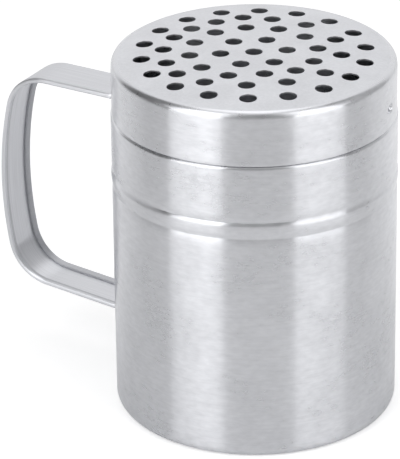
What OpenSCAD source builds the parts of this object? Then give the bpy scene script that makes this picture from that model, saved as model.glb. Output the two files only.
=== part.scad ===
// Perforated spice shaker: a drawn sheet-metal cup, a lift-off lid with punched holes
// and a strap handle. The cup's axis is Z, it stands on Z = 0 and the handle points
// towards -X. All sizes are in millimetres.

/* [Cup] */
// Outside diameter of the cup wall
cup_d = 70; // [68:0.5:74]
// Height of the shoulder that carries the lid
shoulder_z = 77.5; // [76:0.5:90]
// Thickness of the cup and lid sheet
sheet = 0.5; // [0.4:0.05:0.6]
// Rounding between the wall and the base
base_round = 2.4; // [1.2:0.1:3]
// Rounding of the shoulder's outer edge
shoulder_round = 1.2; // [0.8:0.1:1.5]
// Diameter of the raised panel under the base
panel_d = 60; // [40:1:62]
// Rise of the panel under the base
panel_rise = 0.8; // [0.5:0.1:2]

/* [Bead] */
// Height of the middle of the rolled bead
bead_z = 61.3; // [40:0.1:62]
// Height of the bead from groove to groove
bead_h = 3.8; // [3:0.1:5]
// Distance that the bead stands proud of the wall
bead_proud = 0.2; // [0.1:0.05:0.4]

/* [Neck] */
// Clearance between the neck and the lid's skirt
neck_gap = 0.3; // [0.2:0.05:0.4]
// Height of the neck above the shoulder
neck_h = 13; // [11:0.5:13]
// Width of the lug's entry slots
slot_w = 5.4; // [5:0.2:7]
// Turn of each slot's locking leg
slot_turn = 14; // [8:1:25]

/* [Lid] */
// Outside diameter of the lid's skirt
lid_d = 69.4; // [68.8:0.1:69.6]
// Height of the lid from rim to crown
lid_h = 14.9; // [14.8:0.1:18]
// Rise of the crowned top over its edge
crown_rise = 0.8; // [0.3:0.05:1.2]
// Rounding between the skirt and the top
lid_round = 2; // [1.2:0.1:2.6]
// Flare of the skirt at its rim
rim_flare = 0.1; // [0:0.05:0.15]
// Gap between the lid's rim and the shoulder
rim_gap = 0.3; // [0.2:0.05:0.5]

/* [Locking lugs] */
// Width of each pressed lug
lug_w = 3.4; // [3:0.1:4]
// Height of each pressed lug
lug_h = 2.4; // [2:0.1:2.6]
// Depth of each pressed lug
lug_depth = 0.7; // [0.6:0.05:0.75]
// Height of the lugs above the lid's rim
lug_rise = 4.8; // [4.5:0.1:6]
// Direction of the first lug
lug_at = 10; // [0:1:40]

/* [Sprinkling holes] */
// Diameter of the punched holes
hole_d = 4.2; // [2:0.1:4.4]
// Direction of the first hole, from which the rings are turned
hole_at = 37; // [0:1:60]
// Radius of the ring of six holes
ring_six_r = 8.1; // [7.5:0.1:8.5]
// Radius of the ring of twelve holes, two of which stand nearer the middle
ring_twelve_r = 15.6; // [15:0.1:16]
// Radius of the uneven ring of fifteen holes
ring_fifteen_r = 21.5; // [21.3:0.1:21.7]
// Radius of the ring of eighteen holes
ring_eighteen_r = 27.3; // [27:0.1:28]

/* [Handle] */
// Width of the handle's strap
strap_w = 12; // [10:0.5:14]
// Thickness of the handle's strap
strap_t = 0.5; // [0.4:0.05:0.6]
// How far the folded edges stand in from the strap's outer face
strap_lip = 1.4; // [1.35:0.05:2]
// How far the folded edges reach over the strap's inner face
hem_w = 1.9; // [1.3:0.1:2.5]
// How much lower the free edge of a fold lies than its crest
hem_drop = 0.35; // [0.1:0.05:0.35]
// Rounding of the strap's outer edges
strap_round = 0.7; // [0.55:0.05:0.75]
// Distance from the cup's axis to the outermost point of the grip
grip_reach = 71.3; // [66:0.5:80]
// Height of the outermost point of the grip
grip_z = 45.3; // [42:0.1:48]
// Radius of the grip's outward bow
bow_r = 93; // [80:1:120]
// Outer radius of the two bends
bend_r = 12; // [9:0.5:14]
// Direction of the bow's upper end, seen from its centre
upper_bow_angle = 13.2; // [11:0.05:13.3]
// Direction of the bow's lower end, seen from its centre
lower_bow_angle = -10.95; // [-13:0.05:-9]
// Tilt of the lower arm at its bend
lower_arm_tilt = 5; // [2:0.1:8]
// Height of each foot on the cup wall
foot_h = 9; // [7:0.5:10]

/* [Hidden] */
$fn = 96;

// Sheet-metal colours
steel = [0.78, 0.79, 0.80];
lid_steel = [0.84, 0.85, 0.86];
strap_steel = [0.74, 0.75, 0.77];
// Overshoot of a cutting body past the faces that it cuts
past = 1;

// Cup
cup_r = cup_d / 2;
panel_r = panel_d / 2;
panel_round = 0.8;
bead_sag = 0.45;
bead_r = (pow(bead_h / 2, 2) + pow(bead_sag, 2)) / (2 * bead_sag);
groove_round = 2.4;
groove_reach = bead_h / 2 + 1.1;
shoulder_proud = 0.12;

// Lid
lid_r = lid_d / 2;
lid_rim_z = shoulder_z + rim_gap;
lid_edge_z = lid_rim_z + lid_h - crown_rise;
top_r = lid_r - lid_round;
crown_r = (pow(top_r, 2) + pow(crown_rise, 2)) / (2 * crown_rise);
flare_z = lid_rim_z + sheet / 2;
flare_h = 3.3;

// Neck
neck_r = lid_r - sheet - neck_gap;
neck_top_z = shoulder_z + neck_h;

// Lugs and their slots
lug_z = lid_rim_z + lug_rise;
lug_wall = 0.4;
slot_play = 0.5;
slot_low_z = lug_z - lug_h / 2 - lug_wall - slot_play;
slot_high_z = lug_z + lug_h / 2 + lug_wall + slot_play;

// Holes of the two uneven rings, as [distance outside the ring, turn from the first hole]
twelve_holes = [for (i = [0:11]) i == 9 ? [-1.9, 273.5] : i == 10 ? [-0.3, 303.5] : [0, 30 * i]];
fifteen_holes = [
    [-0.2, 14], [0, 46.2], [0, 70.7], [1, 89.7], [0, 108.4],
    [0, 128.1], [0.2, 146.5], [0.5, 167.5], [0.4, 189.5], [0.9, 208.2],
    [0, 230], [-1.3, 258], [-1.5, 285.9], [-0.2, 315.7], [-0.3, 347.6]
];

// Handle, drawn towards +X in the XZ plane as [distance from the axis, height]
arm_start = cup_r + 2.5;
foot_bend = 1;
foot_w = strap_w - 2 * strap_round;
foot_round = 3;
weld_d = 3.6;
weld_dent = 0.12;
weld_space = 5;
bow_c = [grip_reach - bow_r, grip_z];
upper_c = bow_c + (bow_r - bend_r) * [cos(upper_bow_angle), sin(upper_bow_angle)];
lower_c = bow_c + (bow_r - bend_r) * [cos(lower_bow_angle), sin(lower_bow_angle)];
upper_arm_z = upper_c[1] + bend_r;
// The lower arm is nearly straight: an arc of very large radius
lower_arm_r = 2000;
lower_arm_angle = lower_arm_tilt - 90;
lower_arm_c = lower_c + (bend_r - lower_arm_r) * [cos(lower_arm_angle), sin(lower_arm_angle)];
lower_end_angle = -acos((arm_start - lower_arm_c[0]) / lower_arm_r);
lower_arm_z = lower_arm_c[1] + lower_arm_r * sin(lower_end_angle);

// A length rounded to six digits
function six_digits(x) = x == 0 ? 0
    : let (unit = pow(10, floor(log(abs(x))) - 5)) round(x / unit) * unit;

// A prism along X from x0 to x1, with an obround section w wide and h high
module obround_prism(w, h, x0, x1) {
    translate([x0, 0, 0])
        rotate([90, 0, 90])
            linear_extrude(x1 - x0) {
                square([w - h, h], center = true);
                for (side = [-1, 1])
                    translate([side * (w - h) / 2, 0])
                        circle(h / 2, $fn = 32);
            }
}

// Half section of the space inside the cup's skin, drawn inset from the outer surface
module cup_region(inset, top_z) {
    wall_r = cup_r - inset;
    difference() {
        union() {
            // base, base corner and the wall up to the lower groove
            translate([0, inset])
                square([cup_r - base_round, bead_z - inset]);
            translate([cup_r - base_round, base_round])
                circle(base_round - inset);
            translate([0, base_round])
                square([wall_r, bead_z - groove_reach - base_round]);
            // wall rounded into the grooves, and the bead between them
            for (side = [-1, 1])
                translate([cup_r - groove_round, bead_z + side * groove_reach])
                    circle(groove_round - inset);
            translate([cup_r + bead_proud - bead_r, bead_z])
                circle(bead_r - inset);
            // wall between the bead and the shoulder
            translate([0, bead_z])
                square([cup_r - groove_round, groove_reach]);
            translate([0, bead_z + groove_reach])
                square([wall_r, shoulder_z - shoulder_round - bead_z - groove_reach]);
            translate([cup_r + shoulder_proud - shoulder_round, shoulder_z - shoulder_round])
                circle(shoulder_round - inset);
            translate([0, bead_z + groove_reach])
                square([cup_r + shoulder_proud - shoulder_round,
                        shoulder_z - inset - bead_z - groove_reach]);
            // neck
            translate([0, bead_z + groove_reach])
                square([neck_r - inset, top_z - bead_z - groove_reach]);
        }
        // raised panel under the base
        translate([0, -past])
            square([panel_r - panel_round, panel_rise + past + inset]);
        translate([0, -past])
            square([panel_r + inset, panel_rise - panel_round + past]);
        translate([panel_r - panel_round, panel_rise - panel_round])
            circle(panel_round + inset);
    }
}

// Opening of one lug slot in the neck: an entry from the rim and a level locking leg
module neck_slot() {
    translate([neck_r - 2, -slot_w / 2, slot_low_z])
        cube([4, slot_w, neck_top_z - slot_low_z + past]);
    rotate([0, 0, -slot_turn])
        rotate_extrude(angle = slot_turn)
            translate([neck_r - 2, slot_low_z])
                square([4, slot_high_z - slot_low_z]);
}

// The drawn cup with its rolled bead, stepped-in neck and lug slots
module cup() {
    color(steel)
        difference() {
            rotate_extrude() {
                difference() {
                    cup_region(0, neck_top_z - sheet / 2);
                    cup_region(sheet, neck_top_z + past);
                }
                translate([neck_r - sheet / 2, neck_top_z - sheet / 2])
                    circle(sheet / 2, $fn = 24);
            }
            for (turn = [0, 180])
                rotate([0, 0, lug_at + turn])
                    neck_slot();
        }
}

// Half section of the space inside the lid's skin, drawn inset from the outer surface
module lid_region(inset) {
    polygon([
        [0, flare_z],
        [lid_r + rim_flare - inset, flare_z],
        [lid_r - inset, flare_z + flare_h],
        [0, flare_z + flare_h]
    ]);
    translate([0, flare_z + flare_h])
        square([lid_r - inset, lid_edge_z - lid_round - flare_z - flare_h]);
    translate([top_r, lid_edge_z - lid_round])
        circle(lid_round - inset);
    // the crown is a shallow dome on the flat disc inside the edge
    intersection() {
        translate([0, lid_edge_z + crown_rise - crown_r])
            circle(crown_r - inset, $fn = 720);
        translate([0, flare_z])
            square([top_r, lid_h]);
    }
}

// The punched holes, as one pattern of upright cylinders
module sprinkling_holes() {
    punch(0, 0);
    for (i = [0:5])
        punch(ring_six_r, hole_at + 60 * i);
    for (hole = twelve_holes)
        punch(ring_twelve_r + hole[0], hole_at + hole[1]);
    for (hole = fifteen_holes)
        punch(ring_fifteen_r + hole[0], hole_at + hole[1]);
    for (i = [0:17])
        punch(ring_eighteen_r, hole_at + 20 * i);
}

// One punched hole at a radius and a direction
module punch(radius, angle) {
    rotate([0, 0, angle])
        translate([radius, 0, lid_edge_z - lid_round])
            cylinder(h = lid_round + crown_rise + past, d = hole_d, $fn = 32);
}

// The pressed lid with its crowned, perforated top and two locking lugs
module lid() {
    color(lid_steel)
        difference() {
            union() {
                rotate_extrude() {
                    difference() {
                        lid_region(0);
                        lid_region(sheet);
                    }
                    translate([lid_r + rim_flare - sheet / 2, lid_rim_z + sheet / 2])
                        circle(sheet / 2, $fn = 24);
                }
                for (turn = [0, 180])
                    rotate([0, 0, lug_at + turn])
                        translate([0, 0, lug_z])
                            obround_prism(lug_w + 2 * lug_wall, lug_h + 2 * lug_wall,
                                          lid_r - sheet - lug_depth, lid_r - sheet / 2);
            }
            for (turn = [0, 180])
                rotate([0, 0, lug_at + turn])
                    translate([0, 0, lug_z])
                        obround_prism(lug_w, lug_h, lid_r - lug_depth, lid_r + past);
            sprinkling_holes();
        }
}

// Section of the strap: X = 0 is its outer face, Y its width. Its edges turn towards -X in
// a round fold and come back over the web, sloping down to their free edges
module strap_section() {
    half = strap_w / 2;
    fold_r = strap_t;
    straight = strap_lip - fold_r;
    difference() {
        union() {
            translate([-straight, -half])
                square([straight - strap_round, strap_w]);
            translate([-straight, -half + strap_round])
                square([straight, strap_w - 2 * strap_round]);
            for (side = [-1, 1]) {
                translate([-strap_round, side * (half - strap_round)])
                    circle(strap_round, $fn = 32);
                translate([-straight, side * (half - fold_r)])
                    circle(fold_r, $fn = 32);
                polygon([
                    [-straight, side * (half - fold_r)],
                    [-strap_lip, side * (half - fold_r)],
                    [-strap_lip + hem_drop, side * (half - hem_w)],
                    [-straight, side * (half - hem_w)]
                ]);
            }
        }
        translate([-strap_lip - past, -half + hem_w])
            square([strap_lip + past - strap_t, strap_w - 2 * hem_w]);
    }
}

// Places a child at [distance from the axis, height], in a large step and a very small
// one, so that the ends of neighbouring runs of the strap meet exactly
module placed(at) {
    near = [six_digits(at[0]), six_digits(at[1])];
    translate([near[0], 0, near[1]])
        translate([at[0] - near[0], 0, at[1] - near[1]])
            children();
}

// A curved run of the strap about centre c, with outer radius r, from angle a0 to a1
module strap_bend(c, r, a0, a1) {
    placed(c)
        rotate([90, 0, 0])
            rotate_extrude(angle = a1 - a0, start = a0)
                translate([r, 0])
                    strap_section();
}

// The level upper arm, from the end of its bend to the foot
module upper_arm() {
    placed([upper_c[0], upper_arm_z])
        rotate([0, -90, 0])
            linear_extrude(upper_c[0] - arm_start)
                strap_section();
}

// A foot that turns up from Z = 0 against the cup wall, with two weld marks on its face
module foot() {
    difference() {
        intersection() {
            rotate_extrude()
                foot_profile();
            translate([cup_r - past, 0, 0])
                rotate([90, 0, 90])
                    linear_extrude(arm_start - cup_r + 2 * past)
                        foot_outline();
        }
        for (side = [-1, 1])
            translate([cup_r + strap_t - weld_dent, side * weld_space / 2, foot_h * 0.62])
                rotate([0, 90, 0])
                    cylinder(h = past, d = weld_d, $fn = 32);
    }
}

// Half section of a foot: the web, the bend and the tab that follows the wall
module foot_profile() {
    bend_out = foot_bend + strap_t;
    translate([cup_r + bend_out, 0])
        square([arm_start + 0.4 - cup_r - bend_out, strap_t]);
    translate([cup_r, bend_out])
        square([strap_t, foot_h - bend_out]);
    intersection() {
        translate([cup_r + bend_out, bend_out])
            difference() {
                circle(bend_out, $fn = 48);
                circle(foot_bend, $fn = 48);
            }
        translate([cup_r, 0])
            square(bend_out);
    }
}

// Front outline of a foot, with its two upper corners rounded
module foot_outline() {
    half = foot_w / 2;
    translate([-half, -past])
        square([foot_w, foot_h - foot_round + past]);
    translate([-half + foot_round, 0])
        square([foot_w - 2 * foot_round, foot_h]);
    for (side = [-1, 1])
        translate([side * (half - foot_round), foot_h - foot_round])
            circle(foot_round, $fn = 48);
}

// The strap handle: two feet, two arms, two bends and the bowed grip
module handle() {
    color(strap_steel)
        mirror([1, 0, 0]) {
            placed([0, lower_arm_z])
                foot();
            strap_bend(lower_arm_c, lower_arm_r, lower_arm_angle, lower_end_angle);
            strap_bend(lower_c, bend_r, lower_arm_angle, lower_bow_angle);
            strap_bend(bow_c, bow_r, lower_bow_angle, upper_bow_angle);
            strap_bend(upper_c, bend_r, upper_bow_angle, 90);
            upper_arm();
            placed([0, upper_arm_z])
                mirror([0, 0, 1])
                    foot();
        }
}

cup();
lid();
handle();
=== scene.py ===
"""A spice shaker in satin stainless steel: its looks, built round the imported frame."""

import math

import bmesh
import bpy
import numpy as np
from mathutils import Matrix, Vector
from mathutils.geometry import delaunay_2d_cdt


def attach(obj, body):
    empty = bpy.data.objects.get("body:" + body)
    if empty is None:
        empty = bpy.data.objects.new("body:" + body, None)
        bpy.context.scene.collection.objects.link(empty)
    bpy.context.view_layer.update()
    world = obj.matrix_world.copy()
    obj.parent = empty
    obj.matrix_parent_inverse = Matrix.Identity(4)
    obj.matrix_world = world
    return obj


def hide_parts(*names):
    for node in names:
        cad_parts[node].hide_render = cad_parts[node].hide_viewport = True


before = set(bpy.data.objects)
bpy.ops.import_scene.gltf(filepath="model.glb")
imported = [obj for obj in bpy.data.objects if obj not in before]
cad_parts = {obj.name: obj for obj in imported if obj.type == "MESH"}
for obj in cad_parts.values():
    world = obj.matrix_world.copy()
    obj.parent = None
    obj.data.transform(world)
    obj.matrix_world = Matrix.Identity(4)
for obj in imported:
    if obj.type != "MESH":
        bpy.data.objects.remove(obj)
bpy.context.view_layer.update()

# ---------------------------------------------------------------------------------------
# The camera: a long lens, about 0.9 m from the shaker, that looks down on it by 26 degrees.
# It stands 120 degrees round from the handle, so that the loop shows on the left.
# ---------------------------------------------------------------------------------------
long_side_px = 459
focal_px = 3529.4
camera_distance = 0.78687
camera_height = 0.42181
camera_azimuth = math.radians(-60)
look_yaw = math.radians(-0.988)
look_down = math.radians(25.576)
look_roll = math.radians(-0.754)


def toward(degrees):
    """Level unit vector at the camera's azimuth plus that many degrees: (cos, sin, 0) of
    their sum. Positive is to the camera's right."""
    turn = camera_azimuth + math.radians(degrees)
    return Vector((math.cos(turn), math.sin(turn), 0))


ahead = Matrix.Rotation(-look_yaw, 3, "Z") @ -toward(0)
aim = ahead * math.cos(look_down) - Vector((0, 0, math.sin(look_down)))
level_right = aim.cross(Vector((0, 0, 1))).normalized()
level_up = level_right.cross(aim)
right = math.cos(look_roll) * level_right + math.sin(look_roll) * level_up
up = math.cos(look_roll) * level_up - math.sin(look_roll) * level_right
lens = bpy.data.cameras.new("lens")
lens.sensor_width = 36
lens.lens = focal_px / long_side_px * lens.sensor_width
camera = bpy.data.objects.new("camera", lens)
camera.matrix_world = Matrix.Translation(
    toward(0) * camera_distance + Vector((0, 0, camera_height))
) @ Matrix((right, up, -aim)).transposed().to_4x4()
bpy.context.scene.collection.objects.link(camera)
bpy.context.scene.camera = camera

# ---------------------------------------------------------------------------------------
# The studio: an upright strip softbox at either side in front of the shaker, the left one
# with a brighter core, a faint reflector at the far right and a panel overhead. The shaker
# stands on a pale table top before a white backdrop.
# ---------------------------------------------------------------------------------------
def linear(hex_colour):
    """sRGB hex to linear: a channel c gives ((c + 0.055) / 1.055) ** 2.4, or c / 12.92 in
    the dark."""
    channels = [int(hex_colour[i:i + 2], 16) / 255 for i in (1, 3, 5)]
    return [((c + 0.055) / 1.055) ** 2.4 if c > 0.04045 else c / 12.92 for c in channels] + [1]


def emptied(owner):
    """Turns on the nodes of a material or world and gives its node tree, emptied."""
    owner.use_nodes = True
    owner.node_tree.nodes.clear()
    return owner.node_tree


def add_node(tree, kind, settings=(), links=()):
    """Adds a node. settings pairs a socket or a property with its value, links a socket
    with the output that feeds it. A Mix node's sockets 2 and 3 are the two numbers that it
    mixes, and 6 and 7 the two colours."""
    node = tree.nodes.new(kind)
    for name, value in dict(settings).items():
        if isinstance(name, int) or name in node.inputs:
            node.inputs[name].default_value = value
        else:
            setattr(node, name, value)
    for name, source in dict(links).items():
        tree.links.new(source, node.inputs[name])
    return node


def add_softbox(name, degrees, distance, height, width, length, radiance):
    """An upright softbox that faces the shaker: its power is radiance * pi * its area."""
    box = bpy.data.lights.new(name, "AREA")
    box.shape = "RECTANGLE"
    box.size, box.size_y = width, length
    box.energy = radiance * math.pi * width * length
    lamp = bpy.data.objects.new(name, box)
    lamp.location = toward(degrees) * distance + Vector((0, 0, height))
    lamp.rotation_mode = "QUATERNION"
    lamp.rotation_quaternion = (-toward(degrees)).to_track_quat("-Z", "Y")
    lamp.visible_camera = False
    bpy.context.scene.collection.objects.link(lamp)
    return lamp


add_softbox("left_strip", degrees=-45.5, distance=0.60, height=0.55,
            width=0.46, length=1.10, radiance=1.85)
add_softbox("left_strip_core", degrees=-37, distance=0.59, height=0.55,
            width=0.12, length=1.10, radiance=0.35)
add_softbox("right_strip", degrees=51, distance=0.60, height=0.55,
            width=0.46, length=1.10, radiance=1.55)
add_softbox("right_reflector", degrees=103, distance=0.80, height=0.55,
            width=0.70, length=0.8, radiance=0.18)
overhead = add_softbox("overhead_panel", degrees=180, distance=0.12, height=1.1,
                       width=0.7, length=0.7, radiance=0.65)
facing_down = (1, 0, 0, 0)
overhead.rotation_quaternion = facing_down

# The room is white where the camera sees it. Metal sees that white only behind the shaker,
# where the backdrop hangs, then a pale ceiling, and dim walls elsewhere that are darkest at
# the far left. All else is lit by an even grey.
room = bpy.data.worlds.new("studio_room")
tree = emptied(room)
dim_walls = 0.30
dark_wall = 0.13
dark_wall_at = -95
pale_ceiling = 0.8
room_grey = 0.50
heading = add_node(tree, "ShaderNodeTexCoord")
level_part = add_node(tree, "ShaderNodeVectorMath", {"operation": "MULTIPLY", 1: (1, 1, 0)},
                      {0: heading.outputs["Generated"]})
level_heading = add_node(tree, "ShaderNodeVectorMath", {"operation": "NORMALIZE"},
                         {0: level_part.outputs[0]})
facing = add_node(tree, "ShaderNodeVectorMath", {"operation": "DOT_PRODUCT", 1: toward(180)},
                  {0: level_heading.outputs[0]})
leftwards = add_node(tree, "ShaderNodeVectorMath",
                     {"operation": "DOT_PRODUCT", 1: toward(dark_wall_at)},
                     {0: level_heading.outputs[0]})
walls = add_node(tree, "ShaderNodeMapRange",
                 {"From Min": 0.75, "From Max": 0.92, "To Min": dim_walls, "To Max": dark_wall},
                 {"Value": leftwards.outputs["Value"]})
backdrop = add_node(tree, "ShaderNodeMapRange",
                    {"From Min": 0.55, "From Max": 0.65, "To Max": 1.0},
                    {"Value": facing.outputs["Value"], "To Min": walls.outputs[0]})
seen = add_node(tree, "ShaderNodeLightPath")
mirrored = add_node(tree, "ShaderNodeMath", {"operation": "MAXIMUM"}, {
    0: seen.outputs["Is Glossy Ray"], 1: seen.outputs["Is Transmission Ray"]})
upwards = add_node(tree, "ShaderNodeSeparateXYZ", links={0: heading.outputs["Generated"]})
ceiling = add_node(tree, "ShaderNodeMapRange",
                   {"From Min": 0.78, "From Max": 0.92, "To Max": pale_ceiling},
                   {"Value": upwards.outputs["Z"]})
surroundings = add_node(tree, "ShaderNodeMath", {"operation": "MAXIMUM"}, {
    0: backdrop.outputs[0], 1: ceiling.outputs[0]})
lighting = add_node(tree, "ShaderNodeMix", {"data_type": "FLOAT", 2: room_grey},
                    {0: mirrored.outputs[0], 3: surroundings.outputs[0]})
level = add_node(tree, "ShaderNodeMix", {"data_type": "FLOAT", 3: 1.0},
                 {0: seen.outputs["Is Camera Ray"], 2: lighting.outputs[0]})
glow = add_node(tree, "ShaderNodeBackground", {"Color": linear("#FFFFFF")},
                {"Strength": level.outputs[0]})
add_node(tree, "ShaderNodeOutputWorld", links={"Surface": glow.outputs[0]})
bpy.context.scene.world = room

# The table top is matt white laminate. Behind the shaker it carries a painted glow, stronger
# further back, that all but camera rays see, so that the metal mirrors a brighter table there.
# To the camera it glows a little all over, so that it shows as white and still carries the
# soft shadow. It is left clear from below and right under the base, so that the base isn't
# hidden or dark.
table_z = -0.00002
table_reach = 4.0
table_glow = 0.37
painted_glow_behind = 0.30
clear_r = 0.032
laminate = bpy.data.materials.new("matt_white_laminate")
tree = emptied(laminate)
seen = add_node(tree, "ShaderNodeLightPath")
side = add_node(tree, "ShaderNodeNewGeometry")
place = add_node(tree, "ShaderNodeTexCoord")
rearwards = add_node(tree, "ShaderNodeVectorMath", {"operation": "DOT_PRODUCT", 1: toward(180)},
                     {0: place.outputs["Object"]})
# painted glow on the table behind the shaker, seen by all but camera rays
painted_glow_map = add_node(tree, "ShaderNodeMapRange",
                     {"From Min": 0.0, "From Max": 0.12, "To Max": painted_glow_behind},
                     {"Value": rearwards.outputs["Value"]})
glow_level = add_node(tree, "ShaderNodeMix", {"data_type": "FLOAT", 3: table_glow},
                      {0: seen.outputs["Is Camera Ray"], 2: painted_glow_map.outputs[0]})
glow = add_node(tree, "ShaderNodeEmission", {"Color": linear("#FFFFFF")},
                {"Strength": glow_level.outputs[0]})
matt = add_node(tree, "ShaderNodeBsdfDiffuse", {"Color": linear("#F4F4F4")})
lit = add_node(tree, "ShaderNodeAddShader", links={0: matt.outputs[0], 1: glow.outputs[0]})
clear = add_node(tree, "ShaderNodeBsdfTransparent")
from_middle = add_node(tree, "ShaderNodeVectorMath", {"operation": "LENGTH"},
                       {0: place.outputs["Object"]})
under_base = add_node(tree, "ShaderNodeMath", {"operation": "LESS_THAN", 1: clear_r},
                      {0: from_middle.outputs["Value"]})
left_clear = add_node(tree, "ShaderNodeMath", {"operation": "MAXIMUM"}, {
    0: side.outputs["Backfacing"], 1: under_base.outputs[0]})
shown = add_node(tree, "ShaderNodeMixShader", links={
    0: left_clear.outputs[0], 1: lit.outputs[0], 2: clear.outputs[0]})
add_node(tree, "ShaderNodeOutputMaterial", links={"Surface": shown.outputs[0]})

table_corners = [(x * table_reach, y * table_reach, table_z)
                 for x, y in ((-1, -1), (1, -1), (1, 1), (-1, 1))]
table_mesh = bpy.data.meshes.new("table_top")
table_mesh.from_pydata(table_corners, [], [(0, 1, 2, 3)])
table_mesh.materials.append(laminate)
table_top = bpy.data.objects.new("table_top", table_mesh)
bpy.context.scene.collection.objects.link(table_top)

# ---------------------------------------------------------------------------------------
# The cup: deep drawn from 0.5 mm stainless sheet, with a raised panel under its base, a
# bead rolled between two grooves, and a neck stepped in over the shoulder. Two bent slots
# in the neck take the lid's lugs. The wall is brushed round on a lathe.
# ---------------------------------------------------------------------------------------
# sizes are in millimetres and turns in degrees, up to add_piece, which takes them to metres
mm = 0.001
sheet = 0.5
cup_r = 35.0
base_round = 2.4
panel_r = 30.0
panel_round = 0.8
upper_groove_z = 63.2
lower_groove_z = 59.0
groove_depth = 0.25
upper_flank = 1.8
lower_flank = 2.8
crest_z = 62.25
bead_proud = 0.18
shoulder_z = 77.75
shoulder_round = 0.8
neck_r = 33.9
neck_root = 0.4
neck_top_z = 90.5
slot_low_z = 80.5
slot_high_z = 84.7
slot_half = 4.57
slot_columns = 5
slot_turn = 14
lug_directions = (10, 190)
bite_at = 287
bite_reach = 18
bite_fade = 16
softening = 1.3
softened_from = crest_z - 1


def arc(centre_r, centre_z, radius, start, end, count):
    """Points of a profile on a circle: centre + radius * (cos t, sin t), t in degrees."""
    t = np.radians(np.linspace(start, end, count))
    return np.column_stack((centre_r + radius * np.cos(t), centre_z + radius * np.sin(t)))


def line(start, end, count):
    """Points of a profile, evenly spaced from start to end."""
    return np.linspace(start, end, count)


def wall_bulge(z):
    """How far the wall stands proud of cup_r at height z. Each groove is a sharp valley:
    above the upper one the wall draws in by depth * t ** 2, below the lower one it comes out
    again by depth * t ** 2.5, and either side of the bead is crest - fall * t ** 2. There t runs
    from 0 where the side is level to 1 at the groove."""
    fall = bead_proud + groove_depth
    above = np.clip(1 - (z - upper_groove_z) / upper_flank, 0, 1)
    below = np.clip(1 - (lower_groove_z - z) / lower_flank, 0, 1)
    upper_side = (z - crest_z) / (upper_groove_z - crest_z)
    lower_side = (crest_z - z) / (crest_z - lower_groove_z)
    return np.select(
        [z > upper_groove_z, z > crest_z, z > lower_groove_z],
        [-groove_depth * above ** 2, bead_proud - fall * upper_side ** 2,
         bead_proud - fall * lower_side ** 2], -groove_depth * below ** 2.5)


def smooth(x, low, high):
    """0 up to low and 1 from high, by t * t * (3 - 2 * t) between them."""
    t = np.clip((x - low) / (high - low), 0, 1)
    return t * t * (3 - 2 * t)


def cup_skin(inset):
    """Half profile of the cup from the middle of its base to its shoulder, drawn inset from
    the outer surface: the raised panel and its rounded edge, the rounded foot, the wall at
    cup_r + wall_bulge(z), and the rounded shoulder."""
    panel_turn = math.degrees(math.asin(inset / (panel_round + inset)))
    stops = (base_round, lower_groove_z - lower_flank, lower_groove_z, crest_z,
             upper_groove_z, upper_groove_z + upper_flank, shoulder_z - shoulder_round)
    steps = (23, 12, 14, 8, 9, 6)
    levels = np.concatenate([line(low, high, count + 1)[1:]
                             for low, high, count in zip(stops, stops[1:], steps)])[:-1]
    return np.vstack((
        line((0, panel_round + inset), (panel_r - panel_round, panel_round + inset), 8)[:-1],
        arc(panel_r - panel_round, 0, panel_round + inset, 90, panel_turn, 8),
        arc(cup_r - base_round, base_round, base_round - inset, -90, 0, 14),
        np.column_stack((cup_r - inset + wall_bulge(levels), levels)),
        arc(cup_r - shoulder_round, shoulder_z - shoulder_round, shoulder_round - inset, 0, 90, 12),
    ))


def neck_side(radius, low_z):
    """One side of the neck, upright at radius from low_z to the start of the rim. Its last
    four rows are the slots' lower edge, their middle, their upper edge and the rim."""
    levels = np.array([low_z, low_z + neck_root, slot_low_z, (slot_low_z + slot_high_z) / 2,
                       slot_high_z, neck_top_z - sheet / 2])
    return np.column_stack((np.full(len(levels), radius), levels))


def turned(profile, degrees):
    """Carries a profile round the Z axis: (r, z) at angle t gives (r cos t, r sin t, z).
    Rows follow the profile and columns the angle."""
    t = np.radians(degrees)[None, :]
    r, z = profile[:, :1], profile[:, 1:]
    return np.stack((r * np.cos(t), r * np.sin(t), z + 0 * t), axis=-1)


def grid_faces(rows, columns):
    """Four-sided faces of a grid of points that are numbered row by row."""
    i, j = np.meshgrid(np.arange(rows - 1), np.arange(columns - 1), indexing="ij")
    corner = i * columns + j
    return np.stack((corner, corner + 1, corner + columns + 1, corner + columns), axis=-1)


def along(points):
    """Distance along a row of points, from the first."""
    steps = np.linalg.norm(np.diff(points, axis=0), axis=1)
    return np.concatenate(([0], np.cumsum(steps)))


seam_gap = 2e-7
sharp_from = math.radians(38)


def add_piece(name, body, node, points, faces, brushing, finishes=None):
    """Makes a closed piece from points in millimetres and the faces between them, with a UV
    map that follows the brushing, merges its seams and turns its faces outwards. It rides
    on the body and stands for the node, whose CAD part it hides. finishes numbers the
    material of each face, where there is more than one."""
    mesh = bpy.data.meshes.new(name)
    mesh.from_pydata((points * mm).tolist(), [], faces)
    ends = np.zeros(len(mesh.loops), np.int32)
    mesh.loops.foreach_get("vertex_index", ends)
    mesh.uv_layers.new(name="brushing").data.foreach_set("uv", brushing[ends].ravel())
    if finishes is not None:
        mesh.polygons.foreach_set("material_index", finishes)
    work = bmesh.new()
    work.from_mesh(mesh)
    bmesh.ops.remove_doubles(work, verts=work.verts, dist=seam_gap)
    bmesh.ops.recalc_face_normals(work, faces=work.faces)
    work.to_mesh(mesh)
    work.free()
    mesh.shade_smooth()
    mesh.set_sharp_from_angle(angle=sharp_from)
    piece = bpy.data.objects.new(name, mesh)
    bpy.context.scene.collection.objects.link(piece)
    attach(piece, body)
    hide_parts(node)
    return piece


cup_outside = np.vstack((cup_skin(0), neck_side(neck_r, shoulder_z)))
cup_inside = np.vstack((cup_skin(sheet), neck_side(neck_r - sheet, shoulder_z - sheet)))
cup_rim = arc(neck_r - sheet / 2, neck_top_z - sheet / 2, sheet / 2, 0, 180, 9)[1:-1]
cup_profile = np.vstack((cup_outside, cup_rim, cup_inside[::-1]))

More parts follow.
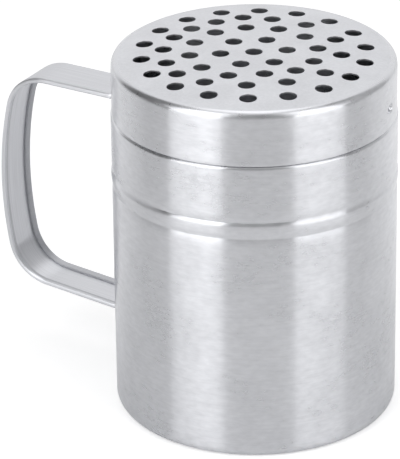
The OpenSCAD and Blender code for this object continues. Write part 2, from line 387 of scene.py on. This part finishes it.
# the slots' edges fall on columns, one degree apart except where a slot's straight side is
cup_turn = np.arange(361.0)
for lug in lug_directions:
    cup_turn[lug - slot_columns] = lug - slot_half
    cup_turn[lug + slot_columns] = lug + slot_half
cup_points = turned(cup_profile, cup_turn)
cup_rows, cup_columns = cup_points.shape[:2]

# the roll bit hardest at the front: elsewhere the upper groove is softer, its bulge at each
# height being the mean of the sharp bulge over the softening around that height
levels = cup_profile[:, 1]
nearby = levels[:, None] + softening * np.linspace(-0.5, 0.5, 13)
softer = wall_bulge(nearby).mean(axis=1) - wall_bulge(levels)
softer = np.where(levels > softened_from, softer, 0)
softness = smooth(np.abs(cup_turn - bite_at), bite_reach, bite_reach + bite_fade)
profile_r = np.maximum(cup_profile[:, :1], 1)
moved = 1 + softer[:, None] * softness[None, :] / profile_r
cup_points[..., :2] *= moved[..., None]
cup_faces = grid_faces(cup_rows, cup_columns)

# cells in the slots are left out, and the cut edges of the sheet are closed. Each slot is an
# upright entry at the lug, open over the rim, with a level run to one side of it
low_out = len(cup_outside) - 4
high_out = len(cup_outside) - 2
low_in = cup_rows - 1 - low_out
high_in = cup_rows - 1 - high_out
kept = np.ones(cup_faces.shape[:2], bool)
cut_edges = []
for lug in lug_directions:
    run_end, entry, far_side = lug - slot_turn, lug - slot_columns, lug + slot_columns
    kept[low_out:low_in, entry:far_side] = False
    kept[low_out:high_out, run_end:entry] = False
    kept[high_in:low_in, run_end:entry] = False
    for column in range(run_end, far_side):
        ends = np.array([low_out, low_out, low_in, low_in]) * cup_columns + column
        cut_edges.append((ends + [0, 1, 1, 0]).tolist())
    for column in range(run_end, entry):
        ends = np.array([high_out, high_out, high_in, high_in]) * cup_columns + column
        cut_edges.append((ends + [0, 1, 1, 0]).tolist())
    cut_edges.append((np.arange(low_out, low_in + 1) * cup_columns + far_side).tolist())
    cut_edges.append((np.arange(high_out, high_in + 1) * cup_columns + entry).tolist())
    cut_edges.append([row * cup_columns + run_end
                      for row in (low_out, low_out + 1, high_out, high_in, low_in - 1, low_in)])

cup_brushing = np.stack(np.broadcast_arrays(
    along(cup_profile)[:, None], np.radians(cup_turn)[None, :] * cup_r), axis=-1)
cup = add_piece("cup_shell", "cup", "cup", cup_points.reshape(-1, 3),
                cup_faces[kept].tolist() + cut_edges, cup_brushing.reshape(-1, 2))

# Satin stainless steel, brushed round the wall: the fine level lines draw a lamp out into an
# upright streak and keep its sides sharp. Real lines stand about 0.1 mm apart; they are
# drawn 0.4 mm apart and some 16 mm long, because finer ones don't show. Scuffs 2.5 mm long
# and clouds 14 mm across break them up. A noise's values run from about 0.3 to 0.7.
noise_span = {"From Min": 0.3, "From Max": 0.7}
brushed_wall = bpy.data.materials.new("satin_stainless_brushed_round")
tree = emptied(brushed_wall)
place = add_node(tree, "ShaderNodeTexCoord")
stretch = add_node(tree, "ShaderNodeMapping", {"Scale": (60, 60, 2500)},
                   {"Vector": place.outputs["Object"]})
lines = add_node(tree, "ShaderNodeTexNoise", {"Scale": 1.0, "Detail": 3.0, "Roughness": 0.6},
                 {"Vector": stretch.outputs[0]})
shorter = add_node(tree, "ShaderNodeMapping", {"Scale": (400, 400, 900)},
                   {"Vector": place.outputs["Object"]})
scuffs = add_node(tree, "ShaderNodeTexNoise", {"Scale": 1.0, "Detail": 2.0, "Roughness": 0.5},
                  {"Vector": shorter.outputs[0]})
cloud = add_node(tree, "ShaderNodeTexNoise", {"Scale": 70.0, "Detail": 2.0},
                 {"Vector": place.outputs["Object"]})
marks = add_node(tree, "ShaderNodeMix", {"data_type": "FLOAT", "Factor": 0.7},
                 {2: lines.outputs["Fac"], 3: scuffs.outputs["Fac"]})
both = add_node(tree, "ShaderNodeMix", {"data_type": "FLOAT", "Factor": 0.42},
                {2: marks.outputs[0], 3: cloud.outputs["Fac"]})
shade = add_node(tree, "ShaderNodeMix",
                 {"data_type": "RGBA", 6: linear("#B4B5B9"), 7: linear("#F6F7FB")},
                 {"Factor": both.outputs[0]})
gloss = add_node(tree, "ShaderNodeMapRange", {**noise_span, "To Min": 0.26, "To Max": 0.31},
                 {"Value": both.outputs[0]})
grain = add_node(tree, "ShaderNodeBump", {"Strength": 0.14, "Distance": 0.00001},
                 {"Height": lines.outputs["Fac"]})
across = add_node(tree, "ShaderNodeTangent", {"direction_type": "UV_MAP", "uv_map": "brushing"})
steel = add_node(tree, "ShaderNodeBsdfPrincipled", {"Metallic": 1.0, "Anisotropic": 1.0},
                 {"Base Color": shade.outputs[2], "Roughness": gloss.outputs[0],
                  "Normal": grain.outputs[0], "Tangent": across.outputs[0]})
add_node(tree, "ShaderNodeOutputMaterial", links={"Surface": steel.outputs[0]})
cup.data.materials.append(brushed_wall)

# ---------------------------------------------------------------------------------------
# The lid: pressed from the same sheet, with a slightly flared skirt, a rounded edge and a
# crowned top. The 52 holes are punched from above, so their upper edges are drawn in a
# little. Two lugs pressed into the skirt hold it on the neck.
# ---------------------------------------------------------------------------------------
lid_r = 34.7
rim_z = 77.8
rim_flare = 0.1
flare_z = rim_z + sheet / 2
flare_top_z = flare_z + 3.3
lid_round = 2.0
crown_top_z = 92.68
crown_rise = 1.0
crown_power = 5
crown_edge_slope = 8.61
fillet_turn = 90 - crown_edge_slope
top_r = lid_r - lid_round + lid_round * math.cos(math.radians(fillet_turn))
fillet_z = crown_top_z - crown_rise - lid_round * math.sin(math.radians(fillet_turn))
web_r = 30.2
lug_z = 82.6
lug_size = (3.4, 2.4)
lug_depth = 0.7
lug_side = 0.4
lug_side_inside = 0.6
lug_spread = 0.4
lug_band = 2.2
lug_reach = 6
lug_step = 0.25
hole_r = 2.1
hole_draw = 0.08
hole_flat = 0.08
fill_step = 1
fill_from_hole = 2.8
fill_from_edge = 0.5
web_slack = 0.02
drawn_edge_from = 0.7

# the rings of holes, each as (distance from the middle, direction from ring_start): one in
# the middle, six, twelve, fifteen and eighteen round it. Two of the twelve and most of the
# fifteen aren't quite where an even ring would have them
ring_start = 37
six = np.column_stack((np.full(6, 8.1), np.arange(6) * 60))
twelve = np.column_stack((np.full(12, 15.6), np.arange(12) * 30.0))
twelve[9:11] = (13.7, 273.5), (15.3, 303.5)
fifteen = np.array([
    (21.3, 14), (21.5, 46.2), (21.5, 70.7), (22.5, 89.7), (21.5, 108.4),
    (21.5, 128.1), (21.7, 146.5), (22.0, 167.5), (21.9, 189.5), (22.4, 208.2),
    (21.5, 230), (20.2, 258), (20.0, 285.9), (21.3, 315.7), (21.2, 347.6)])
eighteen = np.column_stack((np.full(18, 27.3), np.arange(18) * 20))
rings = np.vstack(([(0, 0)], six, twelve, fifteen, eighteen))
hole_at = np.radians(rings[:, 1] + ring_start)
holes = np.column_stack((rings[:, 0] * np.cos(hole_at), rings[:, 0] * np.sin(hole_at)))


def crown_z(from_axis):
    """Height of the crown: top - rise * (distance from the axis / its radius) ** power, so
    that it is nearly flat in the middle and falls off towards the rounded edge."""
    return crown_top_z - crown_rise * (from_axis / top_r) ** crown_power


def lid_skin(inset):
    """Half profile of the lid, inset as the cup's: the skirt from the rim up, flared below
    flare_top_z, then the rounded edge and the outer part of the crown."""
    low_z, high_z = lug_z - lug_band, lug_z + lug_band
    flare_in = rim_flare * (flare_top_z - low_z) / (flare_top_z - flare_z)
    outer_r = np.linspace(top_r, web_r, 9)[1:]
    return np.vstack((
        line((lid_r + rim_flare - inset, flare_z), (lid_r + flare_in - inset, low_z), 4)[:-1],
        line((lid_r + flare_in - inset, low_z), (lid_r - inset, flare_top_z), 8)[:-1],
        line((lid_r - inset, flare_top_z), (lid_r - inset, high_z), 28)[:-1],
        line((lid_r - inset, high_z), (lid_r - inset, fillet_z), 5)[:-1],
        arc(lid_r - lid_round, fillet_z, lid_round - inset, 0, fillet_turn, 17),
        np.column_stack((outer_r, crown_z(outer_r) - inset)),
    ))


def pressed(points, spread, side):
    """Presses the lugs into a turned skin: a point moves in by lug_depth * s(d), with d its
    way inside the lug's round-ended outline over the width of the lug's side, and
    s(d) = d * d * (3 - 2 * d) between 0 and 1. The outline is the lug's size plus spread."""
    half_width, half_height = lug_size[0] / 2 + spread, lug_size[1] / 2 + spread
    r = np.hypot(points[..., 0], points[..., 1])
    t = np.arctan2(points[..., 1], points[..., 0])
    sunk = np.zeros(r.shape)
    for lug in lug_directions:
        round_wall = (t - math.radians(lug) + math.pi) % (2 * math.pi) - math.pi
        sideways = np.maximum(np.abs(round_wall) * lid_r - (half_width - half_height), 0)
        inside = half_height - np.hypot(sideways, points[..., 2] - lug_z)
        sunk = np.maximum(sunk, lug_depth * smooth(inside, 0, side))
    scale = ((r - sunk) / r)[..., None]
    return points * np.concatenate((scale, scale, np.ones_like(scale)), axis=-1)


# columns a degree apart, and four to a degree across the lugs
near_lugs = [np.arange(lug - lug_reach, lug + lug_reach, lug_step) for lug in lug_directions]
lid_turn = np.unique(np.concatenate((np.arange(361.0), *near_lugs)))
lid_rim = arc(lid_r + rim_flare - sheet / 2, flare_z, sheet / 2, 180, 360, 11)[1:-1]
inner_skin, outer_skin = lid_skin(sheet), lid_skin(0)
lid_profile = np.vstack((inner_skin[::-1], lid_rim, outer_skin))
skirt = turned(lid_profile, lid_turn)
inner_rows, outer_row = len(inner_skin), len(inner_skin) + len(lid_rim)
skirt[:inner_rows] = pressed(skirt[:inner_rows], lug_spread, lug_side_inside)
skirt[outer_row:] = pressed(skirt[outer_row:], 0, lug_side)
skirt_faces = grid_faces(*skirt.shape[:2])

# each hole: a ring profile (distance from the hole's axis, depth under the crown) that is
# carried round the hole, from the flat web over the drawn-in edge down to the underside
drawn_edge = arc(hole_r + hole_draw, -hole_draw, hole_draw, 90, 180, 6)
hole_outside = hole_r + hole_draw + hole_flat
burr = 0.03
hole_profile = np.vstack((
    [(hole_outside, 0)], drawn_edge,
    [(hole_r, -sheet + burr), (hole_r + burr, -sheet), (hole_outside, -sheet)]))
round_hole = np.radians(np.linspace(0, 360, 49))
hole_x = holes[:, None, None, 0] + hole_profile[None, :, None, 0] * np.cos(round_hole)
hole_y = holes[:, None, None, 1] + hole_profile[None, :, None, 0] * np.sin(round_hole)
hole_z = crown_z(np.hypot(hole_x, hole_y)) + hole_profile[None, :, None, 1]
hole_points = np.stack((hole_x, hole_y, hole_z), axis=-1)
hole_size = hole_points.shape[1] * hole_points.shape[2]
hole_faces = (grid_faces(*hole_points.shape[1:3])[None]
              + (np.arange(len(holes)) * hole_size)[:, None, None, None])

# the web between the holes: a flat triangulation of the disc, less the holes, that is
# lifted onto the crown and once more onto its underside
web_edge = turned(np.array([[web_r, 0]]), lid_turn[:-1])[0, :, :2]
web_rings = hole_points[:, 0, :-1, :2].reshape(-1, 2)
fill_at = np.arange(-math.floor(web_r), web_r, fill_step)
web_fill = np.stack(np.meshgrid(fill_at, fill_at), axis=-1).reshape(-1, 2)
from_holes = np.linalg.norm(web_fill[:, None] - holes[None], axis=2).min(axis=1)
inside_web = np.hypot(*web_fill.T) < web_r - fill_from_edge
web_fill = web_fill[(from_holes > fill_from_hole) & inside_web]
flat = np.vstack((web_edge, web_rings, web_fill))
web = delaunay_2d_cdt([Vector(p) for p in flat.tolist()], [], [], 0, 1e-9)
web_flat = np.array([tuple(p) for p in web[0]])
web_faces = np.array(web[2])
middle = web_flat[web_faces].mean(axis=1)
to_holes = np.linalg.norm(middle[:, None] - holes[None], axis=2).min(axis=1)
web_faces = web_faces[to_holes > hole_outside - web_slack]
web_z = crown_z(np.hypot(web_flat[:, 0], web_flat[:, 1]))
web_upper = np.column_stack((web_flat, web_z))
web_lower = np.column_stack((web_flat, web_z - sheet))

lid_parts = [skirt.reshape(-1, 3), hole_points.reshape(-1, 3), web_upper, web_lower]
first = np.cumsum([0] + [len(part) for part in lid_parts])
lid_faces = (skirt_faces.reshape(-1, 4).tolist()
             + (hole_faces.reshape(-1, 4) + first[1]).tolist()
             + (web_faces + first[2]).tolist()
             + (web_faces + first[3]).tolist())
skirt_brushing = np.stack(np.broadcast_arrays(
    along(lid_profile)[:, None], np.radians(lid_turn)[None, :] * lid_r), axis=-1)
lid_points = np.vstack(lid_parts)
lid_brushing = np.vstack((skirt_brushing.reshape(-1, 2), lid_points[first[1]:, :2]))
lid = add_piece("lid_shell", "lid", "lid", lid_points, lid_faces, lid_brushing)

# The skirt is brushed round like the cup. The top is satin stainless steel with a matt,
# even grain: it has no lines to draw a lamp out, so it shows one light grey all over. Real
# grit marks are about 0.1 mm across; they are drawn 0.7 mm, because finer ones don't show,
# over faint clouds 8 mm across.
satin_top = bpy.data.materials.new("satin_stainless_even_grain")
tree = emptied(satin_top)
place = add_node(tree, "ShaderNodeTexCoord")
grit = add_node(tree, "ShaderNodeTexNoise", {"Scale": 1400.0, "Detail": 3.0, "Roughness": 0.6},
                {"Vector": place.outputs["Object"]})
cloud = add_node(tree, "ShaderNodeTexNoise", {"Scale": 120.0, "Detail": 2.0},
                 {"Vector": place.outputs["Object"]})
both = add_node(tree, "ShaderNodeMix", {"data_type": "FLOAT", "Factor": 0.5},
                {2: grit.outputs["Fac"], 3: cloud.outputs["Fac"]})
shade = add_node(tree, "ShaderNodeMix",
                 {"data_type": "RGBA", 6: linear("#BDBEC2"), 7: linear("#E9EAEE")},
                 {"Factor": both.outputs[0]})
gloss = add_node(tree, "ShaderNodeMapRange", {**noise_span, "To Min": 0.36, "To Max": 0.44},
                 {"Value": both.outputs[0]})
grain = add_node(tree, "ShaderNodeBump", {"Strength": 0.2, "Distance": 0.00001},
                 {"Height": grit.outputs["Fac"]})
steel = add_node(tree, "ShaderNodeBsdfPrincipled", {"Metallic": 1.0},
                 {"Base Color": shade.outputs[2], "Roughness": gloss.outputs[0],
                  "Normal": grain.outputs[0]})
add_node(tree, "ShaderNodeOutputMaterial", links={"Surface": steel.outputs[0]})

# The rounded edge was drawn smooth over the die and only lightly brushed, so that it mirrors
# the room more sharply than the top. Faint clouds 2.5 mm across are all that breaks it up.
drawn_edge_steel = bpy.data.materials.new("satin_stainless_drawn_edge")
tree = emptied(drawn_edge_steel)
place = add_node(tree, "ShaderNodeTexCoord")
cloud = add_node(tree, "ShaderNodeTexNoise", {"Scale": 400.0, "Detail": 3.0},
                 {"Vector": place.outputs["Object"]})
shade = add_node(tree, "ShaderNodeMix",
                 {"data_type": "RGBA", 6: linear("#D0D1D5"), 7: linear("#DADBDF")},
                 {"Factor": cloud.outputs["Fac"]})
gloss = add_node(tree, "ShaderNodeMapRange", {**noise_span, "To Min": 0.26, "To Max": 0.32},
                 {"Value": cloud.outputs["Fac"]})
steel = add_node(tree, "ShaderNodeBsdfPrincipled", {"Metallic": 1.0},
                 {"Base Color": shade.outputs[2], "Roughness": gloss.outputs[0]})
add_node(tree, "ShaderNodeOutputMaterial", links={"Surface": steel.outputs[0]})
for steel_finish in (brushed_wall, satin_top, drawn_edge_steel):
    lid.data.materials.append(steel_finish)

# faces up to the start of the rounded edge are brushed, those inside it take the even grain
# and those between, round its bend, the drawn finish
face_middles = np.zeros(len(lid.data.polygons) * 3)
lid.data.polygons.foreach_get("center", face_middles)
face_middles = face_middles.reshape(-1, 3) / mm
from_axis = np.hypot(face_middles[:, 0], face_middles[:, 1])
lid_finishes = np.where(face_middles[:, 2] > fillet_z + drawn_edge_from,
                        np.where(from_axis < top_r, 1, 2), 0)
lid.data.polygons.foreach_set("material_index", lid_finishes.astype(np.int32))

# ---------------------------------------------------------------------------------------
# The handle: one strap of 0.5 mm stainless sheet, 12 mm wide, with both edges folded back
# over its inner face so that none is sharp, bent to a bowed loop. Its ends are cut flat,
# turned along the wall inside the loop and held there by two spot welds each.
# ---------------------------------------------------------------------------------------
strap_half = 6.0
strap_t = 0.5
strap_lip = 1.4
hem_edge = strap_half - 1.9
hem_drop = 0.35
cut_round = 0.06
gap_reach = 0.25
gap_heel = 0.01
hair = 0.001
strap_round = 0.55
foot_half = strap_half - strap_round
foot_h = 9.0
foot_bend = 1.5
foot_round = 3.0
arm_start = cup_r + 2.5
fold_opens = (arm_start - 0.4, arm_start + 0.6)
wrap_ends = arm_start + 5
grip_reach = 71.3
grip_z = 45.3
bow_r = 93.0
bend_r = 12.0
upper_turn = 13.2
lower_turn = -10.95
lower_arm_turn = -85.0
lower_arm_slope = 4.7
weld_r = 1.8
weld_side = 0.5
weld_dent = 0.12
weld_space = 5.0
weld_rise = 0.62 * foot_h


def unit(degrees):
    """Unit vector (cos t, sin t) at t degrees."""
    return np.array([math.cos(math.radians(degrees)), math.sin(math.radians(degrees))])


bow_centre = np.array([grip_reach - bow_r, grip_z])
upper_centre = bow_centre + (bow_r - bend_r) * unit(upper_turn)
lower_centre = bow_centre + (bow_r - bend_r) * unit(lower_turn)
upper_arm_z = upper_centre[1] + bend_r
lower_arm_end = lower_centre + bend_r * unit(lower_arm_turn)
lower_drop = (lower_arm_end[0] - arm_start) * math.tan(math.radians(lower_arm_slope))
lower_arm_z = lower_arm_end[1] - lower_drop

# the line of the strap's outer face, (distance from the cup's axis, height), from the tip
# of the lower foot round the loop to the tip of the upper one
tip = foot_h - foot_bend - foot_round * (1 - np.cos(np.linspace(0, math.pi / 2, 12)))
lower_tip = np.column_stack((np.full(len(tip), cup_r), lower_arm_z + foot_bend + tip))
upper_tip = np.column_stack((np.full(len(tip), cup_r), upper_arm_z - foot_bend - tip))
tip_root = foot_h - foot_round
strap_line = np.vstack((
    lower_tip,
    line((cup_r, lower_arm_z + tip_root), (cup_r, lower_arm_z + foot_bend), 18)[1:],
    arc(cup_r + foot_bend, lower_arm_z + foot_bend, foot_bend, 180, 270, 8)[1:],
    line((cup_r + foot_bend, lower_arm_z), (arm_start, lower_arm_z), 4)[1:],
    line((arm_start, lower_arm_z), lower_arm_end, 30)[1:-1],
    arc(*lower_centre, bend_r, lower_arm_turn, lower_turn, 30),
    arc(*bow_centre, bow_r, lower_turn, upper_turn, 60)[1:-1],
    arc(*upper_centre, bend_r, upper_turn, 90, 30),
    line((upper_centre[0], upper_arm_z), (arm_start, upper_arm_z), 30)[1:],
    line((arm_start, upper_arm_z), (cup_r + foot_bend, upper_arm_z), 4)[1:],
    arc(cup_r + foot_bend, upper_arm_z - foot_bend, foot_bend, 90, 180, 8)[1:],
    line((cup_r, upper_arm_z - foot_bend), (cup_r, upper_arm_z - tip_root), 18)[1:],
    upper_tip[::-1][1:],
))


def strap_sections():
    """The strap's section as a closed ring of (depth under the outer face, sideways), once
    with its folded edges and once cut flat. Both rings have as many points: outer face,
    side, inner face, side. A side is a rounded corner, a round fold, and a flap that slopes
    down by the angle atan(drop / width) to its free edge, over a narrow gap."""
    count = 33
    face = np.linspace(-foot_half, foot_half, count)
    fold = np.array([strap_lip - strap_t, strap_half - strap_t])
    slope = math.degrees(math.atan(hem_drop / (fold[1] - hem_edge)))
    low = strap_lip - hem_drop
    corner = arc(strap_round, foot_half, strap_round, 180, 90, 9)[1:]
    outside = line((strap_round, strap_half), (fold[0], strap_half), 3)[1:]
    crest = arc(*fold, strap_t, 90, -slope, 13)[1:]
    flap = line(crest[-1], (low, hem_edge + cut_round), 7)[1:]
    free_edge = line((low - cut_round, hem_edge), (strap_t + cut_round, hem_edge), 5)
    gap = np.array([(strap_t + cut_round / 2, hem_edge + gap_reach),
                    (strap_t, hem_edge - gap_heel)])
    side = np.vstack((corner, outside, crest, flap, free_edge, gap))
    other_side = side[::-1] * [1, -1]
    folded_edges = np.vstack((
        np.column_stack((np.zeros(count), face)), side[:-1],
        np.column_stack((np.full(count, strap_t), face[::-1] * side[-1, 1] / foot_half)),
        other_side[1:]))
    down = np.linspace(0, strap_t, len(side) + 1)[1:-1]
    edge = np.full(len(down), foot_half)
    cut_flat = np.vstack((
        np.column_stack((np.zeros(count), face)), np.column_stack((down, edge)),
        np.column_stack((np.full(count, strap_t), face[::-1])),
        np.column_stack((down[::-1], -edge))))
    return folded_edges, cut_flat


folded_edges, cut_flat = strap_sections()
forward = np.gradient(strap_line, along(strap_line), axis=0)
forward /= np.linalg.norm(forward, axis=1, keepdims=True)
outward = np.column_stack((forward[:, 1], -forward[:, 0]))
to_tip = np.minimum(along(strap_line), along(strap_line)[-1] - along(strap_line))
opened = smooth(strap_line[:, 0], *fold_opens)[:, None, None]
section = opened * folded_edges + (1 - opened) * cut_flat

# the tips of the feet are rounded: half width = foot_half - r + sqrt(r^2 - (r - tip)^2)
short_by = np.clip(foot_round - to_tip, 0, foot_round)
tip_half = foot_half - foot_round + np.sqrt(foot_round ** 2 - short_by ** 2)
sideways = section[..., 1] * (tip_half / foot_half)[:, None]
depth = section[..., 0]

# each spot weld presses the inner face in by weld_dent * s((weld_r - distance) / weld_side)
arm_z = np.where(strap_line[:, 1] < grip_z, lower_arm_z, upper_arm_z)
foot_rise = np.abs(strap_line[:, 1] - arm_z)
from_weld = np.hypot(np.abs(sideways) - weld_space / 2, (foot_rise - weld_rise)[:, None])
on_foot = (strap_line[:, 0] < cup_r + hair)[:, None] & (depth > strap_t - hair)
depth = depth - weld_dent * smooth(weld_r - from_weld, 0, weld_side) * on_foot

# the feet follow the round wall: distance from the axis stays, so x = -sqrt(d^2 - y^2)
from_axis = strap_line[:, :1] - depth * outward[:, :1]
height = strap_line[:, 1:] - depth * outward[:, 1:]
wrapped = 1 - smooth(strap_line[:, :1], arm_start, wrap_ends)
strap_x = -np.sqrt(from_axis ** 2 - wrapped * sideways ** 2)
strap_points = np.stack((strap_x, sideways, height), axis=-1)
stations, ring = strap_points.shape[:2]
strap_points = np.concatenate((strap_points, strap_points[:, :1]), axis=1)
strap_faces = grid_faces(stations, ring + 1).reshape(-1, 4).tolist()
last_ring = (stations - 1) * (ring + 1)
strap_faces += [list(range(ring)), list(range(last_ring, last_ring + ring))]

# the flaps take the second finish, with painted shade: all that lies further in than the fold
# and above the gap
closed_ring = np.vstack((folded_edges, folded_edges[:1]))
ring_depth, ring_side = closed_ring.T
flap_points = (np.abs(ring_side) < strap_half - strap_t) & (ring_depth > strap_t + hair)
on_flap = np.tile(flap_points[1:] & flap_points[:-1], stations - 1)
strap_finishes = np.append(on_flap, (False, False)).astype(np.int32)
strap_brushing = np.stack(np.broadcast_arrays(
    along(strap_line)[:, None], along(closed_ring)[None, :]), axis=-1)
handle = add_piece("handle_strap", "cup", "handle", strap_points.reshape(-1, 3), strap_faces,
                   strap_brushing.reshape(-1, 2), strap_finishes)

# Satin stainless steel, brushed along the strap before it was bent, softer than the cup. Its
# lines are drawn 0.3 mm apart and 25 mm long, because the real ones are too fine to show.
brushed_strap = bpy.data.materials.new("satin_stainless_brushed_along")
tree = emptied(brushed_strap)
place = add_node(tree, "ShaderNodeUVMap", {"uv_map": "brushing"})
stretch = add_node(tree, "ShaderNodeMapping", {"Scale": (0.04, 3.3, 1)},
                   {"Vector": place.outputs[0]})
lines = add_node(tree, "ShaderNodeTexNoise", {"Scale": 1.0, "Detail": 3.0, "Roughness": 0.6},
                 {"Vector": stretch.outputs[0]})
shade = add_node(tree, "ShaderNodeMix",
                 {"data_type": "RGBA", 6: linear("#C3C4C8"), 7: linear("#EDEEF2")},
                 {"Factor": lines.outputs["Fac"]})
gloss = add_node(tree, "ShaderNodeMapRange", {**noise_span, "To Min": 0.36, "To Max": 0.44},
                 {"Value": lines.outputs["Fac"]})
grain = add_node(tree, "ShaderNodeBump", {"Strength": 0.2, "Distance": 0.00001},
                 {"Height": lines.outputs["Fac"]})
along_strap = add_node(tree, "ShaderNodeTangent",
                       {"direction_type": "UV_MAP", "uv_map": "brushing"})
steel = add_node(tree, "ShaderNodeBsdfPrincipled",
                 {"Metallic": 1.0, "Anisotropic": 0.8, "Anisotropic Rotation": 0.25},
                 {"Base Color": shade.outputs[2], "Roughness": gloss.outputs[0],
                  "Normal": grain.outputs[0], "Tangent": along_strap.outputs[0]})
add_node(tree, "ShaderNodeOutputMaterial", links={"Surface": steel.outputs[0]})
handle.data.materials.append(brushed_strap)

# The two folded flaps, with the sheared edges they end in, were pressed flat after the
# brushing, so they are duller than the sheet's faces and have no direction. Their darker
# colour is painted shade for the hollow of the strap's channel that they lie in. The nicks
# are drawn 0.7 mm across, because the real ones are too fine to show.
fold_painted_shade = bpy.data.materials.new("stainless_pressed_fold")
tree = emptied(fold_painted_shade)
place = add_node(tree, "ShaderNodeTexCoord")
nicks = add_node(tree, "ShaderNodeTexNoise", {"Scale": 1500.0, "Detail": 3.0},
                 {"Vector": place.outputs["Object"]})
# a darker colour than the strap's: painted shade for the inside of the channel
shade = add_node(tree, "ShaderNodeMix",
                 {"data_type": "RGBA", 6: linear("#ADAEB2"), 7: linear("#C5C6CA")},
                 {"Factor": nicks.outputs["Fac"]})
gloss = add_node(tree, "ShaderNodeMapRange", {**noise_span, "To Min": 0.42, "To Max": 0.52},
                 {"Value": nicks.outputs["Fac"]})
grain = add_node(tree, "ShaderNodeBump", {"Strength": 0.2, "Distance": 0.00002},
                 {"Height": nicks.outputs["Fac"]})
steel = add_node(tree, "ShaderNodeBsdfPrincipled", {"Metallic": 1.0},
                 {"Base Color": shade.outputs[2], "Roughness": gloss.outputs[0],
                  "Normal": grain.outputs[0]})
add_node(tree, "ShaderNodeOutputMaterial", links={"Surface": steel.outputs[0]})
handle.data.materials.append(fold_painted_shade)

# ---------------------------------------------------------------------------------------
# The end: colours shown as they are lit
# ---------------------------------------------------------------------------------------
bpy.context.scene.view_settings.view_transform = "Standard"
